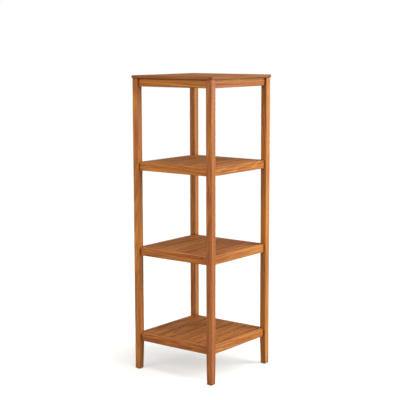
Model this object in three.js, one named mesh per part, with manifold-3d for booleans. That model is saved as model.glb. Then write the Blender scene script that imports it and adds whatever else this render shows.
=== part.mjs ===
// Free-standing four-level wooden bath tower: four square legs, sixteen rails in four rings,
// a framed slatted top and three slatted shelves. Millimetres, +Z up, -Y is the front.
// The origin is on the floor under the middle of the tower.

import * as THREE from 'three';
import { mergeVertices } from 'three/addons/utils/BufferGeometryUtils.js';
import Module from 'manifold-3d';

const wasm = await Module();
wasm.setup();

// Overall sizes
const overallHeight = 1067;      // floor to the top surface
const frameWidth = 350;          // left to right over the legs
const frameDepth = 350;          // front to back over the legs
const lowestRailHeight = 106;    // floor to the underside of the lowest rails
const middleRailHeight = 422;    // the same for the next ring of rails
const upperRailHeight = 730;     // the same for the ring above that

// Legs and feet
const legSide = 23.5;            // square section
const legChamfer = 1;            // along the four arrises
const footTaper = 2.5;           // taken off each inner face at the floor
const taperBelowRail = 4;        // from the underside of the lowest rails to the start of the taper
const glideRadius = 8.5;
const glideHeight = 1.8;
const glideChamfer = 0.6;
const glideNailRadius = 1.4;
const glideNailLength = 13;

// Rails and their joints
const railHeight = 29;
const railThickness = 16;        // set flush with the legs' inner faces
const railChamfer = 1;
const tenonThickness = 6;
const tenonLength = 13;
const tenonMargin = 3;           // from the rail's upper or lower edge to its tenon
const tenonSpacing = 3;          // between the high tenons and the low ones that cross in a leg

// Shelf decks
const slatCount = 5;             // on each deck
const slatGap = 6;               // between slats, and between a slat and the rail or frame
const slatThickness = 9;
const slatChamfer = 1;
const cleatWidth = 12;
const cleatHeight = 12;

// Top
const topThickness = 10;
const topOverhang = 2;           // beyond the legs all round
const frameBearing = 15;         // how far the top's frame reaches in over a batten
const topChamfer = 1.5;          // along the outer upper edge
const battenHeight = 13;
const slatBearing = 12;          // how far a batten reaches under the ends of the top's slats
const screwRadius = 2;
const screwHeadRadius = 4;
const screwBite = 7;             // how far the screw goes into the top frame
const screwInset = 60;           // from the end of the batten to the screw

// Fits
const fitGap = 0.3;              // between faces that touch
const mortiseClearance = 0.3;    // round each tenon
const mortiseEndSpace = 1;       // beyond the end of a tenon
const screwClearance = 0.4;      // round the screws and the glide nails
const roundSides = 20;
const overlapForUnion = 1;       // how far a tenon is sunk in its rail before they are joined
const cutMargin = 5;             // how far a cutting solid runs past what it cuts

// Worked out from the sizes above
const halfWidth = frameWidth / 2;
const halfDepth = frameDepth / 2;
const innerHalfWidth = halfWidth - legSide;   // to the inner faces of legs and side rails
const innerHalfDepth = halfDepth - legSide;   // to the inner faces of legs, front and back rails
const legTop = overallHeight - topThickness;
const levelNames = ['lower', 'middle', 'upper', 'top'];
const topRailBottom = legTop - fitGap - railHeight;
const railBottoms = [lowestRailHeight, middleRailHeight, upperRailHeight, topRailBottom];
const railBottom = (level) => railBottoms[level];
const tenonHeight = (railHeight - 2 * tenonMargin - tenonSpacing) / 2;
const legBottom = glideHeight + fitGap;
const taperTop = lowestRailHeight - taperBelowRail;
const topHalfWidth = halfWidth + topOverhang;
const topHalfDepth = halfDepth + topOverhang;
const topFrameWidth = topOverhang + legSide + fitGap + frameBearing;

const woods = {
  leg: 0xb5713c,
  rail: 0xb06a37,
  slat: 0xc08046,
  cleat: 0x9c6236,
  top: 0xbb7a43,
};

const group = new THREE.Group();
group.name = 'bath_tower';

function wood(color) {
  return new THREE.MeshStandardMaterial({ color, roughness: 0.5, metalness: 0 });
}

const nylon = new THREE.MeshStandardMaterial({ color: 0x2b2019, roughness: 0.6, metalness: 0 });
const steel = new THREE.MeshStandardMaterial({ color: 0xa9a08c, roughness: 0.35, metalness: 1 });

function addPiece(name, geometry, material, position = [0, 0, 0]) {
  const mesh = new THREE.Mesh(geometry, material);
  mesh.name = name;
  mesh.position.set(...position);
  group.add(mesh);
}

// Booleans
function toManifold(geometry) {
  const bare = geometry.clone();
  bare.deleteAttribute('normal');
  bare.deleteAttribute('uv');
  const merged = mergeVertices(bare, 1e-4);
  return new wasm.Manifold(new wasm.Mesh({
    numProp: 3,
    vertProperties: new Float32Array(merged.attributes.position.array),
    triVerts: new Uint32Array(merged.index.array),
  }));
}

function toGeometry(solid) {
  const result = solid.getMesh();
  const geometry = new THREE.BufferGeometry();
  geometry.setAttribute('position', new THREE.BufferAttribute(result.vertProperties, 3));
  geometry.setIndex(new THREE.BufferAttribute(result.triVerts, 1));
  geometry.computeVertexNormals();
  return geometry;
}

// Basic shapes
// A box given by its lowest and highest corners.
function boxBetween(low, high) {
  const size = high.map((value, axis) => value - low[axis]);
  const middle = high.map((value, axis) => (value + low[axis]) / 2);
  return new THREE.BoxGeometry(...size).translate(...middle);
}

function outline(points) {
  return new THREE.Shape(points.map(([x, y]) => new THREE.Vector2(x, y)));
}

// A bar along X whose section is a rectangle with four chamfered arrises, centred on the origin.
function chamferedBar(length, width, height, chamfer) {
  const [w, h, c] = [width / 2, height / 2, chamfer];
  const section = outline([
    [-w + c, -h], [w - c, -h], [w, -h + c], [w, h - c],
    [w - c, h], [-w + c, h], [-w, h - c], [-w, -h + c],
  ]);
  const bar = new THREE.ExtrudeGeometry(section, { depth: length, bevelEnabled: false });
  return bar.translate(0, 0, -length / 2).rotateX(Math.PI / 2).rotateZ(Math.PI / 2);
}

// A round piece on the Z axis from [radius, height] pairs, which start and end on the axis.
function turned(profile) {
  return new THREE.LatheGeometry(outline(profile).getPoints(), roundSides).rotateX(Math.PI / 2);
}

// Tenons: front and back rails carry theirs high, side rails carry theirs low
function tenonBand(level, isSideRail) {
  const bottom = railBottom(level);
  const low = isSideRail ? bottom + tenonMargin : bottom + railHeight - tenonMargin - tenonHeight;
  return [low, low + tenonHeight];
}

// The two tenons of one rail, or with grow > 0 the mortises that take them. side is the sign of
// the rail's Y where it runs along X, and the sign of its X where it is a side rail along Y.
function tenonBoxes(level, isSideRail, side, grow, endSpace) {
  const [low, high] = tenonBand(level, isSideRail);
  const across = isSideRail ? innerHalfWidth : innerHalfDepth;
  const along = isSideRail ? innerHalfDepth : innerHalfWidth;
  const centre = side * (across + railThickness / 2);
  const inside = along - (grow > 0 ? cutMargin : fitGap + overlapForUnion);
  const outside = along + tenonLength + endSpace;
  return [-1, 1].map((end) => {
    const span = [end * inside, end * outside].sort((a, b) => a - b);
    const thickness = [centre - tenonThickness / 2 - grow, centre + tenonThickness / 2 + grow];
    const [x, y] = isSideRail ? [thickness, span] : [span, thickness];
    return boxBetween([x[0], y[0], low - grow], [x[1], y[1], high + grow]);
  });
}

// Rails
function railGeometry(level, isSideRail, side) {
  const along = isSideRail ? innerHalfDepth : innerHalfWidth;
  const across = isSideRail ? innerHalfWidth : innerHalfDepth;
  const offset = side * (across + railThickness / 2);
  const middle = railBottom(level) + railHeight / 2;
  const body = chamferedBar(2 * (along - fitGap), railThickness, railHeight, railChamfer);
  if (isSideRail) body.rotateZ(Math.PI / 2).translate(offset, 0, middle);
  else body.translate(0, offset, middle);
  const tenons = tenonBoxes(level, isSideRail, side, 0, 0);
  return toGeometry(tenons.reduce((solid, box) => solid.add(toManifold(box)), toManifold(body)));
}

const railSides = [
  { place: 'front', isSideRail: false, side: -1 },
  { place: 'back', isSideRail: false, side: 1 },
  { place: 'left', isSideRail: true, side: -1 },
  { place: 'right', isSideRail: true, side: 1 },
];

levelNames.forEach((levelName, level) => {
  for (const { place, isSideRail, side } of railSides) {
    const geometry = railGeometry(level, isSideRail, side);
    addPiece(`rail_${levelName}_${place}`, geometry, wood(woods.rail));
  }
});

// Legs: mortised, tapered at the foot on the two inner faces, bored for the glide's nail
// The foot's middle, which is where the glide sits.
function footCentre(sideX, sideY) {
  const inset = (legSide - footTaper) / 2;
  return [sideX * (halfWidth - inset), sideY * (halfDepth - inset)];
}

// The wedge that the taper takes off one inner face; into is the sign of the way into the leg.
function taperWedge(innerFace, into) {
  const past = innerFace - into * cutMargin;
  const below = -cutMargin;
  const depthBelow = footTaper * (taperTop - below) / taperTop;
  const wedge = outline([
    [past, taperTop], [innerFace, taperTop], [innerFace + into * depthBelow, below], [past, below],
  ]);
  const length = Math.max(frameWidth, frameDepth) + 2 * cutMargin;
  const solid = new THREE.ExtrudeGeometry(wedge, { depth: length, bevelEnabled: false });
  return solid.translate(0, 0, -length / 2).rotateX(Math.PI / 2);
}

function legGeometry(sideX, sideY) {
  const length = legTop - fitGap - legBottom;
  const bar = chamferedBar(length, legSide, legSide, legChamfer).rotateY(Math.PI / 2);
  bar.translate(sideX * (halfWidth - legSide / 2), sideY * (halfDepth - legSide / 2),
    legBottom + length / 2);
  let leg = toManifold(bar);
  for (const { isSideRail, side } of railSides) {
    const ownSide = isSideRail ? sideX : sideY;
    if (side !== ownSide) continue;
    levelNames.forEach((levelName, level) => {
      const mortises = tenonBoxes(level, isSideRail, side, mortiseClearance, mortiseEndSpace);
      const end = isSideRail ? sideY : sideX;
      leg = leg.subtract(toManifold(mortises[end < 0 ? 0 : 1]));
    });
  }
  const wedgeX = taperWedge(sideX * innerHalfWidth, sideX);
  const wedgeY = taperWedge(sideY * innerHalfDepth, sideY).rotateZ(Math.PI / 2);
  leg = leg.subtract(toManifold(wedgeX)).subtract(toManifold(wedgeY));
  const [footX, footY] = footCentre(sideX, sideY);
  const radius = glideNailRadius + screwClearance;
  const depth = glideNailLength + screwClearance + cutMargin;
  const bore = new THREE.CylinderGeometry(radius, radius, depth, roundSides).rotateX(Math.PI / 2);
  bore.translate(footX, footY, glideHeight + depth / 2 - cutMargin);
  return toGeometry(leg.subtract(toManifold(bore)));
}

// Glides: a nylon disc with a nail in one piece
function glideGeometry() {
  const nailTop = glideHeight + glideNailLength;
  return turned([
    [0, 0], [glideRadius - glideChamfer, 0], [glideRadius, glideChamfer], [glideRadius, glideHeight],
    [glideNailRadius, glideHeight], [glideNailRadius, nailTop - 2 * glideNailRadius], [0, nailTop],
  ]);
}

for (const [nameY, sideY] of [['front', -1], ['back', 1]]) {
  for (const [nameX, sideX] of [['left', -1], ['right', 1]]) {
    addPiece(`leg_${nameY}_${nameX}`, legGeometry(sideX, sideY), wood(woods.leg));
    addPiece(`glide_${nameY}_${nameX}`, glideGeometry(), nylon, [...footCentre(sideX, sideY), 0]);
  }
}

// Decks: slats run front to back and rest on a strip along the front and the back rail
// Slats share the width between two limits, with one gap more than there are slats.
function addSlats(levelName, halfSpan, halfLength, thickness, topZ) {
  const width = (2 * halfSpan - (slatCount + 1) * slatGap) / slatCount;
  for (let index = 0; index < slatCount; index += 1) {
    const slat = chamferedBar(2 * halfLength, width, thickness, slatChamfer).rotateZ(Math.PI / 2);
    const x = -halfSpan + slatGap + width / 2 + index * (width + slatGap);
    addPiece(`slat_${levelName}_${index + 1}`, slat, wood(woods.slat), [x, 0, topZ - thickness / 2]);
  }
}

levelNames.slice(0, -1).forEach((levelName, level) => {
  const deckTop = railBottom(level) + railHeight;
  addSlats(levelName, innerHalfWidth, innerHalfDepth - fitGap, slatThickness, deckTop);
  const cleatTop = deckTop - slatThickness - fitGap;
  const cleat = boxBetween(
    [-innerHalfWidth + fitGap, -cleatWidth / 2, cleatTop - cleatHeight],
    [innerHalfWidth - fitGap, cleatWidth / 2, cleatTop],
  );
  const offset = innerHalfDepth - fitGap - cleatWidth / 2;
  addPiece(`cleat_${levelName}_front`, cleat, wood(woods.cleat), [0, -offset, 0]);
  addPiece(`cleat_${levelName}_back`, cleat, wood(woods.cleat), [0, offset, 0]);
});

// Top: a mitred frame round five slats, screwed to two battens from below
const battenOuter = innerHalfDepth - fitGap;
const frameInner = topHalfDepth - topFrameWidth;
const battenInner = frameInner - slatBearing;
const battenBottom = legTop - fitGap - battenHeight;
const screwX = innerHalfWidth - fitGap - screwInset;
const screwY = battenOuter - frameBearing / 2;   // midway along the overlap of batten and frame

// One frame member lying on the -Y side: its section, cut to a trapezium with 45 degree ends.
function frameMember(halfLength, reach) {
  const outer = -reach;
  const inner = -reach + topFrameWidth;
  const section = outline([
    [outer, legTop], [inner, legTop], [inner, overallHeight],
    [outer + topChamfer, overallHeight], [outer, overallHeight - topChamfer],
  ]);
  const length = 2 * halfLength;
  const bar = new THREE.ExtrudeGeometry(section, { depth: length, bevelEnabled: false });
  bar.translate(0, 0, -halfLength).rotateX(Math.PI / 2).rotateZ(Math.PI / 2);
  const ends = halfLength - fitGap / 2 * Math.SQRT2;
  const plan = outline([
    [-ends - cutMargin, outer - cutMargin], [ends + cutMargin, outer - cutMargin],
    [ends - topFrameWidth - cutMargin, inner + cutMargin],
    [-ends + topFrameWidth + cutMargin, inner + cutMargin],
  ]);
  const mitre = new THREE.ExtrudeGeometry(plan, {
    depth: topThickness + 2 * cutMargin, bevelEnabled: false,
  });
  mitre.translate(0, 0, legTop - cutMargin);
  return toManifold(bar).intersect(toManifold(mitre));
}

function screwHole(x, y) {
  const radius = screwRadius + screwClearance;
  const height = battenHeight + screwBite + screwClearance + cutMargin;
  const hole = new THREE.CylinderGeometry(radius, radius, height, roundSides).rotateX(Math.PI / 2);
  return toManifold(hole.translate(x, y, battenBottom - cutMargin + height / 2));
}

// The cone that the screw's head sinks into, open at the batten's underside.
function screwSink(x, y) {
  const wide = screwHeadRadius + screwClearance;
  const narrow = screwRadius + screwClearance;
  const sink = turned([[0, -cutMargin], [wide, -cutMargin], [wide, 0], [narrow, wide - narrow],
    [0, wide - narrow]]);
  return toManifold(sink.translate(x, y, battenBottom));
}

function addTopFrame() {
  for (const [name, turn, halfLength, reach] of [
    ['front', 0, topHalfWidth, topHalfDepth], ['right', 1, topHalfDepth, topHalfWidth],
    ['back', 2, topHalfWidth, topHalfDepth], ['left', 3, topHalfDepth, topHalfWidth],
  ]) {
    let member = frameMember(halfLength, reach);
    if (turn % 2 === 0) {
      for (const x of [-screwX, screwX]) member = member.subtract(screwHole(x, -screwY));
    }
    addPiece(`top_frame_${name}`, toGeometry(member).rotateZ(turn * Math.PI / 2), wood(woods.top));
  }
}

function addBattens() {
  const block = boxBetween(
    [-innerHalfWidth + fitGap, -battenOuter, battenBottom],
    [innerHalfWidth - fitGap, -battenInner, battenBottom + battenHeight],
  );
  let batten = toManifold(block);
  for (const x of [-screwX, screwX]) {
    batten = batten.subtract(screwHole(x, -screwY)).subtract(screwSink(x, -screwY));
  }
  addPiece('batten_top_front', toGeometry(batten), wood(woods.cleat));
  addPiece('batten_top_back', toGeometry(batten).rotateZ(Math.PI), wood(woods.cleat));
}

function addTopScrews() {
  const tip = battenHeight + fitGap + screwBite;
  const screw = turned([
    [0, 0], [screwHeadRadius, 0], [screwRadius, screwHeadRadius - screwRadius],
    [screwRadius, tip - 2 * screwRadius], [0, tip],
  ]);
  for (const [nameY, sideY] of [['front', -1], ['back', 1]]) {
    for (const [nameX, sideX] of [['left', -1], ['right', 1]]) {
      const place = [sideX * screwX, sideY * screwY, battenBottom];
      addPiece(`screw_top_${nameY}_${nameX}`, screw, steel, place);
    }
  }
}

addTopFrame();
addBattens();
addTopScrews();
addSlats('top', topHalfWidth - topFrameWidth, frameInner - fitGap, topThickness, overallHeight);

export default group;
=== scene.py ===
import math
import random

import bmesh
import bpy
from mathutils import Matrix, Vector, noise


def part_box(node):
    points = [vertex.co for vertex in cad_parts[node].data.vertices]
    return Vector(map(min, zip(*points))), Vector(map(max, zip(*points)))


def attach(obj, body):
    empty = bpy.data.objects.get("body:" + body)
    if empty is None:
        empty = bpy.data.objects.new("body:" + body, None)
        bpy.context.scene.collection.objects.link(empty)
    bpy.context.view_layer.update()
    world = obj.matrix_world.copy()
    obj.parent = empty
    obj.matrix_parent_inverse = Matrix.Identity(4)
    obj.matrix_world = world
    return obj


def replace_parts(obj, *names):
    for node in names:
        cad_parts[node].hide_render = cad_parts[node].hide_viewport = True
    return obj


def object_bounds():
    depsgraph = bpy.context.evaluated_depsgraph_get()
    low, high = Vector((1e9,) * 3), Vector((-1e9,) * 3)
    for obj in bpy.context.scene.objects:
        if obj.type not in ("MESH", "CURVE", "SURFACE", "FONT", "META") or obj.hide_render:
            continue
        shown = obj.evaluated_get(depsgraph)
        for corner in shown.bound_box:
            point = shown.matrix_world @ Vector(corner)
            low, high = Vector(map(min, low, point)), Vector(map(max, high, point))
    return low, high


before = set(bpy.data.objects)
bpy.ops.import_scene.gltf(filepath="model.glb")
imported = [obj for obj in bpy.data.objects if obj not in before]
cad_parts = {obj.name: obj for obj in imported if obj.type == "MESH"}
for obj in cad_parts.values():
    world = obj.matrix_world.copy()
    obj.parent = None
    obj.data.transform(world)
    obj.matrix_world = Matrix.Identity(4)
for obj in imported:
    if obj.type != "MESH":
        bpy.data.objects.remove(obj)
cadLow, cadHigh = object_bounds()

# A slatted bath tower in oiled hardwood. Metres, +Z up, -Y is the front. Every board is made along its
# own grain: u runs along it, v across its width and w through its thickness.
axisX, axisY, axisZ = Vector((1, 0, 0)), Vector((0, 1, 0)), Vector((0, 0, 1))
levels = ["lower", "middle", "upper"]
sides = {"left": -1, "right": 1, "front": -1, "back": 1}


# Small helpers
def newObject(name, mesh):
    thing = bpy.data.objects.new(name, mesh)
    bpy.context.scene.collection.objects.link(thing)
    return thing


def meshFrom(name, work):
    bmesh.ops.remove_doubles(work, verts=work.verts, dist=1e-6)
    bmesh.ops.recalc_face_normals(work, faces=work.faces)
    for face in work.faces:
        face.smooth = True
    mesh = bpy.data.meshes.new(name)
    work.to_mesh(mesh)
    work.free()
    return mesh


# Skins a row of rings that all have the same number of points, and closes both ends.
def loftRings(work, rings):
    rows = [[work.verts.new(point) for point in ring] for ring in rings]
    count = len(rows[0])
    for here, there in zip(rows, rows[1:]):
        for i in range(count):
            j = (i + 1) % count
            work.faces.new((here[i], here[j], there[j], there[i]))
    work.faces.new(rows[0][::-1])
    work.faces.new(rows[-1])


# Carves the cutter out of the piece for good, then throws the cutter away.
def carve(piece, cutter):
    cut = piece.modifiers.new("cut", "BOOLEAN")
    cut.operation = "DIFFERENCE"
    cut.solver = "EXACT"
    cut.object = cutter
    carved = piece.evaluated_get(bpy.context.evaluated_depsgraph_get())
    mesh = bpy.data.meshes.new_from_object(carved)
    piece.modifiers.clear()
    piece.data = mesh
    bpy.data.objects.remove(cutter)


# Shader node helpers
def addNode(tree, kind, wires=None, **settings):
    node = tree.nodes.new(kind)
    for key, value in settings.items():
        setattr(node, key, value)
    for socket, value in (wires or {}).items():
        if isinstance(value, bpy.types.NodeSocket):
            tree.links.new(value, node.inputs[socket])
        else:
            node.inputs[socket].default_value = value
    return node


def calc(tree, operation, a, b=0.0, c=0.0, clamp=False):
    wires = {0: a, 1: b, 2: c}
    return addNode(tree, "ShaderNodeMath", wires, operation=operation, use_clamp=clamp).outputs[0]


def stretch(tree, vector, along, across):
    wires = {0: vector, 1: (along, across, across)}
    return addNode(tree, "ShaderNodeVectorMath", wires, operation="MULTIPLY").outputs[0]


def speckle(tree, vector, detail=2.0, roughness=0.5, distortion=0.0):
    wires = {"Vector": vector, "Scale": 1.0, "Detail": detail, "Roughness": roughness,
             "Distortion": distortion}
    return addNode(tree, "ShaderNodeTexNoise", wires).outputs["Fac"]


def remap(tree, value, low, high, toLow=0.0, toHigh=1.0):
    wires = {"Value": value, "From Min": low, "From Max": high, "To Min": toLow, "To Max": toHigh}
    return addNode(tree, "ShaderNodeMapRange", wires, clamp=True).outputs[0]


def blendColour(tree, share, a, b, mode="MIX"):
    wires = {0: share, 6: a, 7: b}
    return addNode(tree, "ShaderNodeMix", wires, data_type="RGBA", blend_type=mode).outputs[2]


def startMaterial(name):
    material = bpy.data.materials.new(name)
    material.use_nodes = True
    tree = material.node_tree
    tree.nodes.clear()
    shader = addNode(tree, "ShaderNodeBsdfPrincipled")
    addNode(tree, "ShaderNodeOutputMaterial", {"Surface": shader.outputs[0]})
    return material, tree, shader


def addBump(tree, shader, height, distance, strength):
    bump = addNode(tree, "ShaderNodeBump", {"Height": height, "Distance": distance, "Strength": strength})
    tree.links.new(bump.outputs["Normal"], shader.inputs["Normal"])


# Oiled wood. Colours are linear, lengths in metres, and the shares are how strongly each thing shows.
oiledWood = {
    "straw": (0.57, 0.265, 0.046, 1),
    "honey": (0.395, 0.132, 0.022, 1),
    "russet": (0.195, 0.043, 0.009, 1),
    "umber": (0.050, 0.014, 0.004, 1),
    "ringSpacing": 0.0034,
    "ringShare": 0.30,
    "streakShare": 0.62,
    "toneShare": 0.5,
    "fibreShare": 0.5,
    "poreShare": 0.35,
    "arrisShare": 0.45,
    "endShare": 0.75,
    "redShare": 0.42,
    # reach of the painted shade in the joints and recesses
    "crevice": 0.010,
    "gloss": 0.42,
    "sheenLevel": 0.28,
    "relief": 0.00022,
    "reliefShare": 0.8,
    # how fine each part of the figure is along and across the grain, per metre
    "grain": {"wander": (2.6, 30), "ripple": (9, 160), "band": (1.3, 26), "streak": (3.2, 210),
              "fibre": (26, 1500), "pore": (95, 3600)},
    # between which values of the noise, the ring or the distance each effect comes in
    "span": {"ringRise": (0.0, 0.78), "ringFall": (1.0, 0.84), "pore": (0.62, 0.70),
             "streak": (0.30, 0.70), "red": (0.42, 0.70), "wearAndShade": (0.25, 0.65), "creviceShade": (0.25, 0.90),
             "knotSwirl": (0.6, 3.2), "knotCore": (0.75, 1.30)},
    # how far each pushes a growth ring out from the heart
    "ringPush": {"wander": 0.016, "ripple": 0.0016, "knot": 0.006},
    # multiplied into the colour
    "tint": {"red": (0.96, 0.74, 0.60, 1), "wornAndShaded": (0.42, 0.27, 0.20, 1), "end": (0.50, 0.38, 0.32, 1),
             "creviceShade": (0.34, 0.18, 0.11, 1)},
    # added to the roughness
    "rough": {"fibre": 0.16, "pore": 0.18, "end": 0.22, "arris": -0.06},
    # added to the height of the relief
    "rise": {"fibre": 0.45, "ring": -0.18, "pore": -0.55, "streak": 0.35},
}

# What differs from the oiled wood above for each record slot.
woodSlots = {
    "leg_wood": {"streakShare": 0.55, "ringSpacing": 0.0030, "sheenLevel": 0.40, "gloss": 0.38},
    "rail_wood": {"streakShare": 0.70, "ringShare": 0.34, "ringSpacing": 0.0036},
    # the slats take a darker palette than the legs and rails: painted shade on the shelf decks under the
    # shelves above
    "slat_wood": {"ringShare": 0.40, "ringSpacing": 0.0042, "gloss": 0.56, "sheenLevel": 0.18,
                  "straw": (0.46, 0.20, 0.040, 1), "honey": (0.315, 0.110, 0.023, 1),
                  "russet": (0.165, 0.040, 0.009, 1)},
    # the top takes a darker palette too: painted shade on its level face and edges
    "top_wood": {"ringShare": 0.36, "ringSpacing": 0.0040, "gloss": 0.58, "sheenLevel": 0.15,
                 "arrisShare": 0.60, "straw": (0.36, 0.145, 0.040, 1), "honey": (0.25, 0.088, 0.023, 1),
                 "russet": (0.15, 0.045, 0.012, 1)},
    "cleat_wood": {"gloss": 0.60, "poreShare": 0.5, "sheenLevel": 0.25,
                   "straw": (0.40, 0.17, 0.050, 1), "honey": (0.28, 0.105, 0.028, 1)},
}


def fromBoard(tree, name, output="Fac"):
    return addNode(tree, "ShaderNodeAttribute", attribute_name=name).outputs[output]


def makeWood(slot):
    look = {**oiledWood, **woodSlots[slot]}
    span, push, tint, rougher, rise = [look[key] for key in ("span", "ringPush", "tint", "rough", "rise")]
    material, tree, shader = startMaterial("oiled_" + slot)
    log = fromBoard(tree, "logPlace", "Vector")
    knotPlace = fromBoard(tree, "knotPlace", "Vector")
    tone = fromBoard(tree, "toneAndPaintedLight")
    arris = fromBoard(tree, "arris")
    endCut = fromBoard(tree, "endCut")

    def grain(kind, detail, roughness=0.5):
        return speckle(tree, stretch(tree, log, *look["grain"][kind]), detail, roughness)

    # growth rings: distance from the heart of the log, wandering a little along it
    wander = grain("wander", 3)
    ripple = grain("ripple", 2)
    fromHeart = addNode(tree, "ShaderNodeVectorMath", {0: stretch(tree, log, 0, 1)}, operation="LENGTH")
    knotReach = addNode(tree, "ShaderNodeVectorMath", {0: knotPlace}, operation="LENGTH").outputs["Value"]
    knotPush = remap(tree, knotReach, *span["knotSwirl"], 1.0, 0.0)
    radius = calc(tree, "MULTIPLY_ADD", wander, push["wander"], fromHeart.outputs["Value"])
    radius = calc(tree, "MULTIPLY_ADD", ripple, push["ripple"], radius)
    radius = calc(tree, "MULTIPLY_ADD", knotPush, push["knot"], radius)
    turn = calc(tree, "FRACT", calc(tree, "DIVIDE", radius, look["ringSpacing"]))
    ringRise, ringFall = remap(tree, turn, *span["ringRise"]), remap(tree, turn, *span["ringFall"])
    ring = calc(tree, "MULTIPLY", ringRise, ringFall)

    # long streaks, broad bands, fine fibres and open pores, all along the grain
    band = grain("band", 2)
    streak = grain("streak", 3, 0.6)
    fibre = grain("fibre", 2, 0.65)
    pore = remap(tree, grain("pore", 1), *span["pore"])

    # colour, from the palest straw to russet
    figure = calc(tree, "MULTIPLY", remap(tree, streak, *span["streak"]), look["streakShare"])
    figure = calc(tree, "MULTIPLY_ADD", ring, look["ringShare"], figure)
    # the board's tone, including the painted light that some boards carry, moves the figure darker or
    # lighter
    figure = calc(tree, "MULTIPLY_ADD", tone, look["toneShare"], figure)
    fibreSwing = calc(tree, "SUBTRACT", fibre, 0.5)
    figure = calc(tree, "MULTIPLY_ADD", fibreSwing, look["fibreShare"], figure)
    ramp = addNode(tree, "ShaderNodeValToRGB", {"Fac": figure})
    ramp.color_ramp.interpolation = "B_SPLINE"
    stops = ramp.color_ramp.elements
    stops[0].position, stops[0].color = 0.02, look["straw"]
    stops[1].position, stops[1].color = 0.98, look["russet"]
    stops.new(0.45).color = look["honey"]
    reddening = calc(tree, "MULTIPLY", remap(tree, band, *span["red"]), look["redShare"])
    colour = blendColour(tree, reddening, ramp.outputs["Color"], tint["red"], "MULTIPLY")
    colour = blendColour(tree, calc(tree, "MULTIPLY", pore, look["poreShare"]), colour, look["umber"])
    # the arrises are darkened: partly wear, partly painted shade along the edges
    wearAndShade = calc(tree, "MULTIPLY", arris, remap(tree, band, *span["wearAndShade"], 0.5, 1.0))
    wearAndShade = calc(tree, "MULTIPLY", wearAndShade, look["arrisShare"])
    colour = blendColour(tree, wearAndShade, colour, tint["wornAndShaded"], "MULTIPLY")
    ends = calc(tree, "MULTIPLY", endCut, look["endShare"])
    colour = blendColour(tree, ends, colour, tint["end"], "MULTIPLY")
    knotEdge = calc(tree, "MULTIPLY_ADD", ripple, 0.5, knotReach)
    knotCore = remap(tree, knotEdge, *span["knotCore"], 0.9, 0.0)
    colour = blendColour(tree, knotCore, colour, look["umber"])
    # painted shade: the colour darkens where ambient occlusion finds other parts close by, in the joints,
    # recesses and corners
    hollow = addNode(tree, "ShaderNodeAmbientOcclusion", {"Distance": look["crevice"]}, samples=8)
    creviceShade = remap(tree, hollow.outputs["AO"], *span["creviceShade"], 0.90, 0.0)
    colour = blendColour(tree, creviceShade, colour, tint["creviceShade"], "MULTIPLY")
    tree.links.new(colour, shader.inputs["Base Color"])

    # satin oil: duller in the pores and on the cut ends, a touch smoother on the worn arrises
    rough = calc(tree, "MULTIPLY_ADD", fibreSwing, rougher["fibre"], look["gloss"])
    rough = calc(tree, "MULTIPLY_ADD", pore, rougher["pore"], rough)
    rough = calc(tree, "MULTIPLY_ADD", endCut, rougher["end"], rough)
    rough = calc(tree, "MULTIPLY_ADD", arris, rougher["arris"], rough, clamp=True)
    tree.links.new(rough, shader.inputs["Roughness"])
    shader.inputs["Specular IOR Level"].default_value = look["sheenLevel"]

    # open pores and the late wood of each ring lie low, fibres and streaks stand up
    height = calc(tree, "MULTIPLY", ring, rise["ring"])
    height = calc(tree, "MULTIPLY_ADD", fibre, rise["fibre"], height)
    height = calc(tree, "MULTIPLY_ADD", pore, rise["pore"], height)
    height = calc(tree, "MULTIPLY_ADD", streak, rise["streak"], height)
    addBump(tree, shader, height, look["relief"], look["reliefShare"])
    return material


woods = {slot: makeWood(slot) for slot in woodSlots}
print("woods mixed:", ", ".join(woods))


# Nylon for the glides, plated steel for the screws and nails
nylonLook = {
    "dark": (0.016, 0.011, 0.008, 1),
    "light": (0.034, 0.024, 0.017, 1),
    "scuffed": (0.12, 0.10, 0.085, 1),
    "grain": {"flow": (300, 300), "grit": (2600, 2600)},
    "span": {"flow": (0.35, 0.65), "scuff": (0.60, 0.72)},
    "scuffShare": 0.35,
    "gloss": 0.40,
    "roughSwing": 0.25,
    "relief": 0.00006,
    "reliefShare": 0.7,
}
steelLook = {
    "bright": (0.62, 0.58, 0.47, 1),
    "dull": (0.33, 0.30, 0.24, 1),
    "scratched": (0.20, 0.17, 0.12, 1),
    "grain": {"cloud": (420, 420), "scratch": (900, 5200)},
    "span": {"cloud": (0.32, 0.68), "scratch": (0.60, 0.75)},
    "scratchShare": 0.5,
    "gloss": 0.25,
    "roughSwing": 0.22,
    "relief": 0.00003,
    "reliefShare": 0.6,
}


def makeNylon():
    material, tree, shader = startMaterial("moulded_nylon")
    spot = addNode(tree, "ShaderNodeTexCoord").outputs["Object"]
    fineness, span = nylonLook["grain"], nylonLook["span"]
    flow = speckle(tree, stretch(tree, spot, *fineness["flow"]), detail=3)
    grit = speckle(tree, stretch(tree, spot, *fineness["grit"]), detail=2)
    colour = blendColour(tree, remap(tree, flow, *span["flow"]), nylonLook["dark"], nylonLook["light"])
    scuff = remap(tree, grit, *span["scuff"], 0.0, nylonLook["scuffShare"])
    colour = blendColour(tree, scuff, colour, nylonLook["scuffed"])
    tree.links.new(colour, shader.inputs["Base Color"])
    rough = calc(tree, "MULTIPLY_ADD", grit, nylonLook["roughSwing"], nylonLook["gloss"], clamp=True)
    tree.links.new(rough, shader.inputs["Roughness"])
    addBump(tree, shader, grit, nylonLook["relief"], nylonLook["reliefShare"])
    return material


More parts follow.
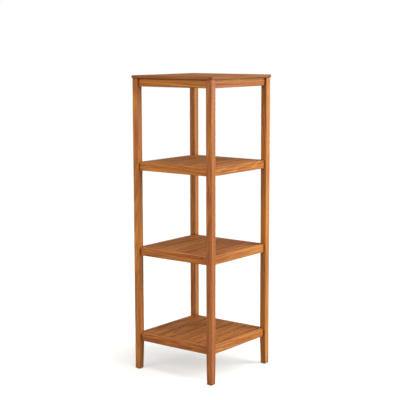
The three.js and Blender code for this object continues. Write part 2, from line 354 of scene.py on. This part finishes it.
def makeSteel():
    material, tree, shader = startMaterial("zinc_plated_steel")
    spot = addNode(tree, "ShaderNodeTexCoord").outputs["Object"]
    fineness, span = steelLook["grain"], steelLook["span"]
    cloud = speckle(tree, stretch(tree, spot, *fineness["cloud"]), detail=3, distortion=0.6)
    scratch = speckle(tree, stretch(tree, spot, *fineness["scratch"]), detail=2)
    colour = blendColour(tree, remap(tree, cloud, *span["cloud"]), steelLook["bright"], steelLook["dull"])
    scored = remap(tree, scratch, *span["scratch"], 0.0, steelLook["scratchShare"])
    colour = blendColour(tree, scored, colour, steelLook["scratched"])
    tree.links.new(colour, shader.inputs["Base Color"])
    rough = calc(tree, "MULTIPLY_ADD", cloud, steelLook["roughSwing"], steelLook["gloss"], clamp=True)
    tree.links.new(rough, shader.inputs["Roughness"])
    shader.inputs["Metallic"].default_value = 1.0
    addBump(tree, shader, scratch, steelLook["relief"], steelLook["reliefShare"])
    return material


nylon = makeNylon()
steel = makeSteel()


# How a board comes off the planer and the sander. Lengths in metres.
boardShape = {
    "ease": 0.0011,        # round on each arris
    "easeDrift": 0.30,     # how much that round swells and shrinks along the board
    "easeSteps": 3,
    "driftRate": 7.0,      # swells and hollows per metre
    "driftGain": 1.6,
    "driftApart": 3.7,     # between the drifts that one board uses
    "band": 0.0014,        # strip beside the round that takes the wear and the painted edge shade
    "bandLimit": 0.3,      # share of a side which that strip takes at most
    "wearShadeReach": 0.8,      # share of that strip which takes the wear and the painted edge shade
    "bow": 0.00005,        # hand-sanded unevenness of the faces
    "inset": 0.00005,      # keeps that unevenness inside the board's own size
    "endEase": 0.0005,
    "spacing": 0.045,      # between the rings of points along the board
    "faceWeight": 60,      # how far the wide faces set the shading of the rounds beside them
}


# The directions u, v, w of a board, its middle and its half sizes, from the place the frame gives it.
def boardFrame(node, along, across):
    low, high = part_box(node)
    through = along.cross(across)
    middle, half = (low + high) / 2, (high - low) / 2
    sizes = [sum(abs(axis[i]) * half[i] for i in range(3)) for axis in (along, across, through)]
    return {"node": node, "middle": middle, "u": along, "v": across, "w": through,
            "length": sizes[0], "width": sizes[1], "thick": sizes[2]}


def onBoard(board, u, v, w):
    return board["middle"] + board["u"] * u + board["v"] * v + board["w"] * w


# A rectangle with rounded arrises, with a point on each side just inside the round and `fills` more
# across the two wide sides. eases gives the round of each corner.
def easedOutline(halfWide, halfThick, eases, fills=0):
    corners = [(1, 1), (-1, 1), (-1, -1), (1, -1)]
    arcs = []
    for index, (sideA, sideB) in enumerate(corners):
        ease = eases[index]
        arc = []
        for step in range(boardShape["easeSteps"] + 1):
            angle = (index + step / boardShape["easeSteps"]) * math.pi / 2
            arc.append((sideA * (halfWide - ease) + ease * math.cos(angle),
                        sideB * (halfThick - ease) + ease * math.sin(angle)))
        arcs.append(arc)
    points = []
    for index, arc in enumerate(arcs):
        points += arc
        start, end = Vector(arc[-1]), Vector(arcs[(index + 1) % 4][0])
        side = end - start
        run = side.normalized() * min(boardShape["band"], side.length * boardShape["bandLimit"])
        points.append(tuple(start + run))
        if index % 2 == 0:
            for step in range(fills):
                points.append(tuple((start + run).lerp(end - run, (step + 1) / (fills + 1))))
        points.append(tuple(end - run))
    return points


# Slow, even drift between -1 and 1 along a board, different for each board and each use of it.
def drift(board, u, channel):
    start = random.Random(board["node"]).uniform(0, 90)
    spot = Vector((u * boardShape["driftRate"], start, channel * boardShape["driftApart"]))
    return noise.noise(spot) * boardShape["driftGain"]


# Where to put the rings of points between two places along a board.
def stations(low, high):
    count = max(2, round((high - low) / boardShape["spacing"]))
    return [low + (high - low) * step / count for step in range(count + 1)]


# One ring of a plain board. shrink pulls the whole outline in, for the eased ends.
def boardRing(board, u, shrink=0.0, fills=0, crown=0.0, eases=None):
    eases = eases or [boardShape["ease"]] * 4
    swollen = [ease * (1 + boardShape["easeDrift"] * drift(board, u, corner))
               for corner, ease in enumerate(eases)]
    ring = []
    for v, w in easedOutline(board["width"] - shrink, board["thick"] - shrink, swollen, fills):
        hump = crown * (1 - (v / board["width"]) ** 2)
        bowV = boardShape["bow"] * drift(board, u, 5)
        bowW = boardShape["bow"] * drift(board, u, 6)
        inset = boardShape["inset"] * math.copysign(1, v)
        ring.append(onBoard(board, u, v + bowV - inset, w + bowW + hump))
    return ring


def plainBoard(board, fills=0, crown=0.0, eases=None):
    end, bite = board["length"], boardShape["endEase"]
    rings = [boardRing(board, -end, bite, fills, crown, eases)]
    rings += [boardRing(board, u, 0, fills, crown, eases) for u in stations(bite - end, end - bite)]
    rings.append(boardRing(board, end, bite, fills, crown, eases))
    return rings


# Where each board sat in its log: flat-sawn ones have the heart below their wide face.
sawing = {
    "heartDepth": (0.028, 0.085),
    "heartAside": (-0.022, 0.022),
    "grainSlope": (-0.035, 0.035),
    "toneSpread": 0.30,
    "knotStretch": 1.7,        # a knot is this much longer along the grain
    "noKnot": (99, 99, 99),    # far enough away for none to show
    "endLean": 0.7,            # a face that leans this much along the board is a cut end
}

# Small knots: how far along and up from the board's middle, and the radius, in metres.
knots = {
    "rail_middle_front": (0.128, 0.007, 0.0030),
    "leg_back_left": (0.210, 0.004, 0.0026),
    "slat_upper_2": (-0.085, 0.010, 0.0032),
    "slat_top_4": (0.060, -0.012, 0.0030),
    "rail_lower_right": (-0.062, 0.001, 0.0024),
}

# Boards darker than the rest, or lighter where the number is below zero. The back right leg and the two
# right-hand rails are made lighter as painted light on the lit right side.
boardTonesAndPaintedLight = {"rail_lower_front": 0.50, "leg_front_left": 0.12, "leg_front_right": 0.16,
              "leg_back_right": -0.45, "rail_upper_right": -0.20, "rail_lower_right": -0.40}

# What the oiled wood reads from each board.
boardAttributes = [
    ("logPlace", "FLOAT_VECTOR", "POINT"),
    ("knotPlace", "FLOAT_VECTOR", "POINT"),
    ("toneAndPaintedLight", "FLOAT", "POINT"),
    ("arris", "FLOAT", "POINT"),
    ("endCut", "FLOAT", "FACE"),
]


# Gives every point of a board its place in the log, the wear and painted edge shade on the arrises, and
# the board's own tone, which carries painted light on some boards.
def dressBoard(piece, board, slot, tone=0.0):
    mesh = piece.data
    chance = random.Random(board["node"] + " log")
    depth = chance.uniform(*sawing["heartDepth"]) * chance.choice((-1, 1))
    aside = chance.uniform(*sawing["heartAside"])
    slopeV, slopeW = chance.uniform(*sawing["grainSlope"]), chance.uniform(*sawing["grainSlope"])
    shift = chance.uniform(0, 40)
    toneAndPaintedLight = tone + chance.uniform(-1, 1) * sawing["toneSpread"]
    toneAndPaintedLight += boardTonesAndPaintedLight.get(board["node"], 0.0)
    knotAt = knots.get(board["node"])
    wornShadedStrip = boardShape["wearShadeReach"] * boardShape["band"]
    for name, kind, domain in boardAttributes:
        mesh.attributes.new(name, kind, domain)
    logPlace, knotPlace, toneOf, arrisOf, endOf = [mesh.attributes[name].data
                                                   for name, kind, domain in boardAttributes]
    for index, vertex in enumerate(mesh.vertices):
        offset = vertex.co - board["middle"]
        u, v, w = offset.dot(board["u"]), offset.dot(board["v"]), offset.dot(board["w"])
        logPlace[index].vector = (u + shift, v + slopeV * u + aside, w + slopeW * u + depth)
        toneOf[index].value = toneAndPaintedLight
        gaps = sorted((board["length"] - abs(u), board["width"] - abs(v), board["thick"] - abs(w)))
        arrisOf[index].value = max(0.0, 1 - gaps[1] / wornShadedStrip)
        if knotAt:
            knotU, knotV, knotRadius = knotAt
            alongKnot = (u - knotU) / knotRadius / sawing["knotStretch"]
            knotPlace[index].vector = (alongKnot, (v - knotV) / knotRadius, 0)
        else:
            knotPlace[index].vector = sawing["noKnot"]
    for index, face in enumerate(mesh.polygons):
        lean = abs(face.normal.dot(board["u"]))
        endOf[index].value = 1.0 if lean > sawing["endLean"] else 0.0
    for face in mesh.polygons:
        face.use_smooth = True
    mesh.materials.clear()
    mesh.materials.append(woods[slot])
    smooth = piece.modifiers.new("flat faces", "WEIGHTED_NORMAL")
    smooth.weight = boardShape["faceWeight"]
    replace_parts(piece, board["node"])
    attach(piece, "root")


def boardPiece(board, rings):
    work = bmesh.new()
    loftRings(work, rings)
    return newObject(board["node"] + "_finished", meshFrom(board["node"] + "_finished", work))


# Legs: mortised for the rails and tapered on the two inner faces at the foot
legLook = {
    "ease": 0.0013,
    "footEase": 0.0006,        # round the sawn ends
    "taper": 0.0025,           # off each inner face at the floor
    "taperBelowRail": 0.004,
    "bend": 0.004,             # height over which the taper starts
    "mortiseGap": 0.0003,      # round a tenon
    "mortiseEnd": 0.001,       # past the end of a tenon
    "nailHole": 0.0018,
    "nailDepth": 0.0134,
    "nailStart": 0.001,        # the drill starts this far under the leg
}

tenonLook = {"thick": 0.006, "high": 0.010, "margin": 0.003, "long": 0.013, "ease": 0.0006}


# The lowest and highest corner of the mortise for a rail's tenon at one of its ends.
def mortiseBox(node, isSide, end):
    grow, deeper = legLook["mortiseGap"], legLook["mortiseEnd"]
    low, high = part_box(node)
    middle = (low + high) / 2
    along, across = (1, 0) if isSide else (0, 1)
    if isSide:
        base = low.z + tenonLook["margin"]
    else:
        base = high.z - tenonLook["margin"] - tenonLook["high"]
    tip = high[along] if end > 0 else low[along]
    root = tip - end * tenonLook["long"]
    mouth = root - end * deeper * 4     # outside the leg, so that the cut is clean
    lowCorner, highCorner = Vector(), Vector()
    lowCorner[along], highCorner[along] = sorted((mouth, tip + end * deeper))
    lowCorner[across] = middle[across] - tenonLook["thick"] / 2 - grow
    highCorner[across] = middle[across] + tenonLook["thick"] / 2 + grow
    lowCorner.z, highCorner.z = base - grow, base + tenonLook["high"] + grow
    return lowCorner, highCorner


def addBox(work, low, high):
    corners = [(low, low), (high, low), (high, high), (low, high)]
    loftRings(work, [[Vector((a.x, b.y, z)) for a, b in corners] for z in (low.z, high.z)])


def addRod(work, bottom, direction, profile, count=24):
    along = direction.normalized()
    across = along.orthogonal().normalized()
    third = along.cross(across)
    rings = []
    for radius, rise in profile:
        turns = [2 * math.pi * step / count for step in range(count)]
        rings.append([bottom + along * rise + (across * math.cos(turn) + third * math.sin(turn)) * radius
                      for turn in turns])
    loftRings(work, rings)


def makeLeg(nameY, nameX):
    node = f"leg_{nameY}_{nameX}"
    sideX, sideY = sides[nameX], sides[nameY]
    board = boardFrame(node, axisZ, axisX)
    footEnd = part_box(f"rail_lower_{nameY}")[0].z - legLook["taperBelowRail"]
    bottom, top = board["middle"].z - board["length"], board["middle"].z + board["length"]

    def legRing(z, shrink=0.0):
        off = legLook["taper"] * max(0.0, (footEnd - z) / footEnd)
        u = z - board["middle"].z
        swollen = [legLook["ease"] * (1 + boardShape["easeDrift"] * drift(board, u, corner))
                   for corner in range(4)]
        halfWide = board["width"] - off / 2 - shrink
        halfThick = board["thick"] - off / 2 - shrink
        inX, inY = sideX * off / 2, sideY * off / 2     # towards the outer faces, which stay straight
        return [Vector((board["middle"].x + inX + a, board["middle"].y + inY + b, z))
                for a, b in easedOutline(halfWide, halfThick, swollen)]

    soft = legLook["footEase"]
    heights = [bottom + soft, footEnd / 2, footEnd - legLook["bend"], footEnd]
    heights += stations(footEnd + legLook["bend"], top - soft)
    rings = [legRing(bottom, soft)] + [legRing(z) for z in heights] + [legRing(top, soft)]
    piece = boardPiece(board, rings)

    work = bmesh.new()
    for level in levels + ["top"]:
        addBox(work, *mortiseBox(f"rail_{level}_{nameY}", False, sideX))
        addBox(work, *mortiseBox(f"rail_{level}_{nameX}", True, sideY))
    glideLow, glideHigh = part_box(f"glide_{nameY}_{nameX}")
    foot = (glideLow + glideHigh) / 2
    start = Vector((foot.x, foot.y, bottom - legLook["nailStart"]))
    addRod(work, start, axisZ, [(legLook["nailHole"], 0), (legLook["nailHole"], legLook["nailDepth"])])
    carve(piece, newObject("legCutter", meshFrom("legCutter", work)))
    dressBoard(piece, board, "leg_wood", tone=0.10)


for nameY in ("front", "back"):
    for nameX in ("left", "right"):
        makeLeg(nameY, nameX)
print("four legs mortised and tapered")


# Rails: front and back ones carry their tenons high, side ones carry them low
railLook = {
    "ease": 0.0011,
    "lowerEase": 0.0014,
    "shoulderEase": 0.0003,
    "tipShrink": 0.0008,       # how much thinner a tenon is at its very end
    "tipLength": 0.0012,
}


def makeRail(level, nameSide):
    isSide = nameSide in ("left", "right")
    along = axisY if isSide else axisX
    board = boardFrame(f"rail_{level}_{nameSide}", along, axisZ)
    shoulder = board["length"] - tenonLook["long"]
    rise = board["width"] - tenonLook["margin"] - tenonLook["high"] / 2
    if isSide:
        rise = -rise

    def tenonRing(u, shrink):
        outline = easedOutline(tenonLook["high"] / 2 - shrink, tenonLook["thick"] / 2 - shrink,
                               [tenonLook["ease"]] * 4, fills=2)
        return [onBoard(board, u, rise + v, w) for v, w in outline]

    tip, bite = board["length"], railLook["shoulderEase"]
    thin, start = railLook["tipShrink"], board["length"] - railLook["tipLength"]
    eases = [railLook["ease"], railLook["lowerEase"], railLook["lowerEase"], railLook["ease"]]
    rings = [tenonRing(-tip, thin), tenonRing(-start, 0), tenonRing(-shoulder, 0),
             boardRing(board, -shoulder, bite, 2, eases=eases)]
    rings += [boardRing(board, u, 0, 2, eases=eases) for u in stations(bite - shoulder, shoulder - bite)]
    rings += [boardRing(board, shoulder, bite, 2, eases=eases), tenonRing(shoulder, 0),
              tenonRing(start, 0), tenonRing(tip, thin)]
    piece = boardPiece(board, rings)
    dressBoard(piece, board, "rail_wood")


for level in levels + ["top"]:
    for nameSide in ("front", "back", "left", "right"):
        makeRail(level, nameSide)
print("sixteen rails with their tenons")


# Slats
slatLook = {"ease": 0.0012, "crown": 0.00012, "fills": 5}


def slatCount(level):
    return sum(1 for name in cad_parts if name.startswith(f"slat_{level}_"))


for level in levels + ["top"]:
    for number in range(1, slatCount(level) + 1):
        board = boardFrame(f"slat_{level}_{number}", axisY, axisX)
        rings = plainBoard(board, slatLook["fills"], slatLook["crown"], [slatLook["ease"]] * 4)
        piece = boardPiece(board, rings)
        dressBoard(piece, board, "top_wood" if level == "top" else "slat_wood", tone=-0.12)
print("slats laid on four levels")


# Countersunk wood screws with a cross recess. Radii and lengths in metres.
screwLook = {
    "head": 0.0036,
    "rim": 0.00025,            # straight edge of the head
    "core": 0.0013,
    "thread": 0.0019,
    "pitch": 0.0015,
    "recess": 0.0021,
    "recessDepth": 0.0015,
    "recessFloor": 0.62,       # the recess narrows to this share of its width
    "recessMouth": 1.05,       # and flares to this share at the face of the head
    "mouthDepth": 0.00008,
    "pit": 0.0003,             # radius of the pit that the punch left under the recess
    "pitDepth": 1.25,          # its depth as a share of the recess's
    "edgeRound": 0.00012,      # softens the edge of the head
    "edgeDrop": 0.00005,
    "point": 0.003,            # from the last thread to the tip
    "nose": 0.0012,            # the last part of the point, which is steeper
    "noseShare": 0.6,          # of the core's radius where the nose starts
    "tip": 0.0001,
    "sides": 24,
    "clearance": 0.0002,
    "crisp": 32,               # degrees between faces above which an edge stays sharp
}
crossHalfAngle = math.radians(15)
cutPast = 0.002            # how far a drill runs past the wood


# Radius of a plus shape in a given direction; its arms are as wide as the half angle makes them.
def plusRadius(angle, reach):
    folded = abs((angle + math.pi / 4) % (math.pi / 2) - math.pi / 4)
    if folded <= crossHalfAngle + 1e-6:
        return reach / math.cos(folded)
    return reach * math.tan(crossHalfAngle) / math.sin(folded)


# A screw whose head lies at `seat` and whose point is `length` further along `direction`.
def addScrew(work, seat, direction, length, head=None):
    head = head or screwLook["head"]
    core, thread, pitch = screwLook["core"], screwLook["thread"], screwLook["pitch"]
    along = direction.normalized()
    across = along.orthogonal().normalized()
    third = along.cross(across)
    turns = [2 * math.pi * step / screwLook["sides"] for step in range(screwLook["sides"])]

    def ring(rise, radiusOf):
        return [seat + along * rise + (across * math.cos(turn) + third * math.sin(turn)) * radiusOf(turn)
                for turn in turns]

    # up out of the recess, over the face of the head and down its cone
    deep, recess, rim = screwLook["recessDepth"], screwLook["recess"], screwLook["rim"]
    rings = [ring(deep * screwLook["pitDepth"], lambda turn: screwLook["pit"]),
             ring(deep, lambda turn: plusRadius(turn, recess * screwLook["recessFloor"])),
             ring(screwLook["mouthDepth"], lambda turn: plusRadius(turn, recess)),
             ring(0.0, lambda turn: plusRadius(turn, recess * screwLook["recessMouth"])),
             ring(screwLook["edgeDrop"], lambda turn: head - screwLook["edgeRound"]),
             ring(rim, lambda turn: head),
             ring(rim + head - thread, lambda turn: thread)]
    startRise, tipRise = rim + head, length - screwLook["point"]
    count = round((tipRise - startRise) / (pitch / 4))     # four rings of points to a turn
    for step in range(count + 1):
        rise = startRise + (tipRise - startRise) * step / count

        def helix(turn, rise=rise):     # the thread's ridge runs round as it climbs
            phase = (rise / pitch - turn / (2 * math.pi)) % 1
            return core + (thread - core) * max(0.0, 1 - abs(phase - 0.5) * 4)
        rings.append(ring(rise, helix))
    rings.append(ring(length - screwLook["nose"], lambda turn: core * screwLook["noseShare"]))
    rings.append(ring(length, lambda turn: screwLook["tip"]))
    loftRings(work, rings)


# The hole for one such screw: a countersink with a straight bore behind it.
def addSink(work, seat, direction, length, head=None):
    wide = (head or screwLook["head"]) + screwLook["clearance"]
    narrow = screwLook["thread"] + screwLook["clearance"]
    addRod(work, seat, direction, [(wide, -cutPast), (wide, screwLook["rim"]),
                                   (narrow, screwLook["rim"] + wide - narrow), (narrow, length)])


def screwPiece(name, work, *nodes):
    piece = newObject(name, meshFrom(name, work))
    piece.data.materials.append(steel)
    edges = piece.modifiers.new("crisp", "EDGE_SPLIT")
    edges.split_angle = math.radians(screwLook["crisp"])
    if nodes:
        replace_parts(piece, *nodes)
    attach(piece, "root")


# Cleats under the shelves
cleatLook = {"ease": 0.0007, "screwsIntoRail": (-0.090, 0.090), "railBite": 0.007, "slatBite": 0.006}


def makeShelfCleats(level):
    screws = bmesh.new()
    slats = [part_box(f"slat_{level}_{n}") for n in range(1, slatCount(level) + 1)]
    for nameY in ("front", "back"):
        board = boardFrame(f"cleat_{level}_{nameY}", axisX, axisY)
        piece = boardPiece(board, plainBoard(board, 1, 0.0, [cleatLook["ease"]] * 4))
        low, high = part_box(board["node"])
        middle, outward = board["middle"], Vector((0, sides[nameY], 0))
        holes = bmesh.new()
        for slatLow, slatHigh in slats:
            head = Vector(((slatLow.x + slatHigh.x) / 2, middle.y, low.z))
            addSink(holes, head, axisZ, high.z - low.z + cutPast)
            addScrew(screws, head, axisZ, high.z - low.z + cleatLook["slatBite"])
        for x in cleatLook["screwsIntoRail"]:
            head = Vector((x, middle.y - outward.y * (high.y - low.y) / 2, middle.z))
            addSink(holes, head, outward, high.y - low.y + cutPast)
            addScrew(screws, head, outward, high.y - low.y + cleatLook["railBite"])
        carve(piece, newObject("cleatCutter", meshFrom("cleatCutter", holes)))
        dressBoard(piece, board, "cleat_wood", tone=0.25)
    screwPiece(f"screws_{level}_shelf", screws)


for level in levels:
    makeShelfCleats(level)
print("cleats screwed under three shelves")


# Top: a mitred frame and slats on two battens
topLook = {
    "upperEase": 0.0015,     # outer upper arris
    "ease": 0.0006,
    "easeDrift": 0.2,
    "mitreEase": 0.0003,     # round the mitred ends
    "mitreShare": 0.9990,    # where along the member that round begins
    "steps": 16,             # rings of points along a member
    "frameScrewHead": 0.0040,
    "slatScrewInset": 0.006,
    "slatBite": 0.006,
}


# A frame member is made along its own length with both ends cut back at 45 degrees.
def makeFrameMember(nameSide):
    node = f"top_frame_{nameSide}"
    isSide = nameSide in ("left", "right")
    side = sides[nameSide]
    along, across = (axisY, axisX * side) if isSide else (axisX, axisY * side)
    board = boardFrame(node, along, across)
    upward = board["w"].z > 0
    outerUpper = 0 if upward else 3
    eases = [topLook["ease"]] * 4
    eases[outerUpper] = topLook["upperEase"]
    full = board["length"]

    def mitredRing(share, shrink):
        swollen = [ease * (1 + topLook["easeDrift"] * drift(board, share * full, corner))
                   for corner, ease in enumerate(eases)]
        ring = []
        for v, w in easedOutline(board["width"] - shrink, board["thick"] - shrink, swollen, 3):
            reach = full - (board["width"] - v)
            ring.append(onBoard(board, share * reach, v, w))
        return ring

    steps, soft = topLook["steps"], topLook["mitreEase"]
    shares = [2 * step / steps - 1 for step in range(steps + 1)]
    rings = [mitredRing(-1, soft)]
    rings += [mitredRing(share * topLook["mitreShare"], 0) for share in shares]
    rings.append(mitredRing(1, soft))
    piece = boardPiece(board, rings)
    if not isSide:
        holes = bmesh.new()
        for nameX in ("left", "right"):
            low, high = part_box(f"screw_top_{nameSide}_{nameX}")
            start = Vector(((low.x + high.x) / 2, (low.y + high.y) / 2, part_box(node)[0].z - cutPast))
            depth = high.z - start.z + 2 * screwLook["clearance"]
            addRod(holes, start, axisZ, [(screwLook["thread"], 0), (screwLook["thread"], depth)])
        carve(piece, newObject("frameCutter", meshFrom("frameCutter", holes)))
    dressBoard(piece, board, "top_wood", tone=0.06)


for nameSide in ("front", "back", "left", "right"):
    makeFrameMember(nameSide)


def makeBatten(nameY):
    board = boardFrame(f"batten_top_{nameY}", axisX, axisY)
    piece = boardPiece(board, plainBoard(board, 1, 0.0, [cleatLook["ease"]] * 4))
    low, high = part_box(board["node"])
    innerY = high.y if nameY == "front" else low.y
    holes, slatScrews = bmesh.new(), bmesh.new()
    for number in range(1, slatCount("top") + 1):
        slatLow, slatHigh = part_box(f"slat_top_{number}")
        y = innerY + sides[nameY] * topLook["slatScrewInset"]
        head = Vector(((slatLow.x + slatHigh.x) / 2, y, low.z))
        addSink(holes, head, axisZ, high.z - low.z + cutPast)
        addScrew(slatScrews, head, axisZ, high.z - low.z + topLook["slatBite"])
    for nameX in ("left", "right"):
        node = f"screw_top_{nameY}_{nameX}"
        screwLow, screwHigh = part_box(node)
        middle = (screwLow + screwHigh) / 2
        head = Vector((middle.x, middle.y, low.z))
        addSink(holes, head, axisZ, high.z - low.z + cutPast, topLook["frameScrewHead"])
        frameScrew = bmesh.new()
        addScrew(frameScrew, head, axisZ, screwHigh.z - low.z, topLook["frameScrewHead"])
        screwPiece(node + "_finished", frameScrew, node)
    carve(piece, newObject("battenCutter", meshFrom("battenCutter", holes)))
    dressBoard(piece, board, "cleat_wood", tone=0.2)
    screwPiece(f"screws_top_slats_{nameY}", slatScrews)


for nameY in ("front", "back"):
    makeBatten(nameY)
print("top framed, mitred and screwed to its battens")


# Glides: a moulded pad with a sunk nail
glideLook = {
    "dish": 0.0003,        # how far the sole hollows towards the nail
    "lip": 0.0022,
    "lipDish": 0.6,        # share of that hollow left at the lip
    "round": 0.0006,
    "soleRim": 1.8,        # the sole meets the floor this many rounds inside its edge
    "nailHead": 0.0032,
    "nailFlat": 0.7,       # flat share of the nail's head
    "headThick": 0.0006,
    "nail": 0.0014,
    "nailPoint": 0.003,
    "nailPlay": 0.0002,    # round the head of the nail
    "flat": 0.0003,        # small flat where the turned pad and nail meet their axis
    "gap": 0.0003,         # under the leg
    "roundSteps": 5,
    "sides": 48,
}


def glidePiece(name, work, finish):
    piece = newObject(name, meshFrom(name, work))
    piece.data.materials.append(finish)
    piece.modifiers.new("even shading", "WEIGHTED_NORMAL")
    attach(piece, "root")
    return piece


def makeGlide(nameY, nameX):
    node = f"glide_{nameY}_{nameX}"
    low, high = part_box(node)
    under = Vector(((low.x + high.x) / 2, (low.y + high.y) / 2, low.z))
    radius = (high.x - low.x) / 2
    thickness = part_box(f"leg_{nameY}_{nameX}")[0].z - low.z - glideLook["gap"]
    dish, lip, soft, head = [glideLook[key] for key in ("dish", "lip", "round", "nailHead")]
    sunk = dish + glideLook["headThick"]
    flat, play = glideLook["flat"], glideLook["nailPlay"]
    hole = head + play

    profile = [(flat, sunk), (hole, sunk), (hole, dish), (radius - lip, dish * glideLook["lipDish"])]
    profile.append((radius - soft * glideLook["soleRim"], 0.0))
    for step in range(glideLook["roundSteps"] + 1):
        angle = math.radians(step * 90 / glideLook["roundSteps"])
        profile.append((radius - soft + soft * math.sin(angle), soft - soft * math.cos(angle)))
    profile += [(radius, thickness - soft / 2), (radius - soft / 2, thickness), (flat, thickness)]
    pad = bmesh.new()
    addRod(pad, under, axisZ, profile, glideLook["sides"])
    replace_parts(glidePiece(node + "_pad", pad, nylon), node)

    shank, tip = glideLook["nail"], high.z - low.z
    profile = [(flat, dish), (head * glideLook["nailFlat"], dish), (head, dish + play)]
    profile += [(head, sunk - play / 2), (shank, sunk - play / 4)]
    profile += [(shank, tip - glideLook["nailPoint"]), (play, tip)]
    nail = bmesh.new()
    addRod(nail, under, axisZ, profile)
    glidePiece(node + "_nail", nail, steel)


for nameY in ("front", "back"):
    for nameX in ("left", "right"):
        makeGlide(nameY, nameX)
print("glides nailed on")


# Floor, light and camera
studio = {
    "floorSize": 30.0,
    "floorDrop": 0.0002,         # under the glides
    "floor": (0.45, 0.45, 0.45, 1),
    "floorRoughness": 0.85,
    "floorSheen": 0.1,
    "floorGlow": 0.56,
    "backdrop": 1.0,
    "brightSide": (100, 10),     # azimuth and elevation of the side where the walls are lightest
    "dimWall": 0.20,
    "brightWall": 0.95,
    "ceiling": 0.45,             # share of that light which comes from straight above
}
# An overhead sun for the floor shadow, and two soft boxes above the height of the top.
sunLook = {"azimuth": 70, "elevation": 74, "distance": 3.0, "spread": 34, "power": 2.0,
           "colour": (1.0, 0.99, 0.95)}
boxLooks = {
    "window box": {"azimuth": 120, "elevation": 24, "distance": 2.8, "size": 1.6, "power": 78,
                   "colour": (1.0, 1.0, 0.86)},
    "front box": {"azimuth": -10, "elevation": 30, "distance": 2.8, "size": 1.5, "power": 34,
                  "colour": (1.0, 0.86, 0.74)},
}


def makeFloor():
    work = bmesh.new()
    half, z = studio["floorSize"] / 2, cadLow.z - studio["floorDrop"]
    corners = [(-half, -half, z), (half, -half, z), (half, half, z), (-half, half, z)]
    work.faces.new([work.verts.new(corner) for corner in corners])
    floor = newObject("studio_floor", meshFrom("studio_floor", work))
    material, tree, shader = startMaterial("pale_floor")
    shader.inputs["Base Color"].default_value = studio["floor"]
    shader.inputs["Roughness"].default_value = studio["floorRoughness"]
    shader.inputs["Specular IOR Level"].default_value = studio["floorSheen"]
    shader.inputs["Emission Color"].default_value = (1, 1, 1, 1)
    seen = addNode(tree, "ShaderNodeLightPath").outputs["Is Camera Ray"]
    glow = calc(tree, "MULTIPLY", seen, studio["floorGlow"])
    tree.links.new(glow, shader.inputs["Emission Strength"])
    # from underneath the floor can be seen through
    clear = addNode(tree, "ShaderNodeBsdfTransparent")
    below = addNode(tree, "ShaderNodeNewGeometry").outputs["Backfacing"]
    both = addNode(tree, "ShaderNodeMixShader", {0: below, 1: shader.outputs[0], 2: clear.outputs[0]})
    ending = next(node for node in tree.nodes if node.type == "OUTPUT_MATERIAL")
    tree.links.new(both.outputs[0], ending.inputs["Surface"])
    floor.data.materials.append(material)


def aroundTower(azimuth, elevation, distance, height):
    a, e = math.radians(azimuth), math.radians(elevation)
    outward = Vector((math.sin(a) * math.cos(e), -math.cos(a) * math.cos(e), math.sin(e)))
    return outward * distance + Vector((0, 0, height)), outward


def aimLamp(name, light, look):
    light.energy, light.color = look["power"], look["colour"]
    holder = newObject(name, light)
    spot, outward = aroundTower(look["azimuth"], look["elevation"], look["distance"], cadHigh.z / 2)
    holder.location = spot
    holder.rotation_mode = "QUATERNION"
    holder.rotation_quaternion = outward.to_track_quat("Z", "Y")


def makeLights():
    sun = bpy.data.lights.new("overhead", "SUN")
    sun.angle = math.radians(sunLook["spread"])
    aimLamp("overhead", sun, sunLook)
    for name, look in boxLooks.items():
        box = bpy.data.lights.new(name, "AREA")
        box.shape = "DISK"
        box.size = look["size"]
        aimLamp(name, box, look)


def makeSky():
    world = bpy.data.worlds.new("studio")
    world.use_nodes = True
    tree = world.node_tree
    aim = addNode(tree, "ShaderNodeTexCoord").outputs["Generated"]
    towards = aroundTower(*studio["brightSide"], 1.0, 0.0)[1]
    facing = addNode(tree, "ShaderNodeVectorMath", {0: aim, 1: towards}, operation="DOT_PRODUCT")
    walls = remap(tree, facing.outputs["Value"], -1.0, 1.0, studio["dimWall"], studio["brightWall"])
    height = addNode(tree, "ShaderNodeSeparateXYZ", {0: aim}).outputs["Z"]
    walls = calc(tree, "MULTIPLY", walls, remap(tree, height, 0.1, 1.0, 1.0, studio["ceiling"]))
    seen = addNode(tree, "ShaderNodeLightPath").outputs["Is Camera Ray"]
    strength = addNode(tree, "ShaderNodeMix", {0: seen, 2: walls, 3: studio["backdrop"]}).outputs[0]
    tree.nodes["Background"].inputs["Color"].default_value = (1, 1, 1, 1)
    tree.links.new(strength, tree.nodes["Background"].inputs["Strength"])
    bpy.context.scene.world = world
    bpy.context.scene.view_settings.view_transform = "Standard"


cameraLook = {"azimuth": 37.74, "lookDown": 8.22, "roll": -0.15, "lens": 97.5, "sensor": 36.0,
              "distance": 3.915, "aimHeight": 0.6174, "aimAside": -0.0077}


def makeCamera():
    camera = bpy.data.cameras.new("camera")
    camera.lens = cameraLook["lens"]
    camera.sensor_width = cameraLook["sensor"]
    holder = newObject("camera", camera)
    spot, outward = aroundTower(cameraLook["azimuth"], cameraLook["lookDown"], cameraLook["distance"],
                                cameraLook["aimHeight"])
    a = math.radians(cameraLook["azimuth"])
    holder.location = spot + Vector((math.cos(a), math.sin(a), 0)) * cameraLook["aimAside"]
    holder.rotation_mode = "QUATERNION"
    roll = Matrix.Rotation(math.radians(cameraLook["roll"]), 3, "Z").to_quaternion()
    holder.rotation_quaternion = outward.to_track_quat("Z", "Y") @ roll
    bpy.context.scene.camera = holder


makeFloor()
makeLights()
makeSky()
makeCamera()
print("studio lit")
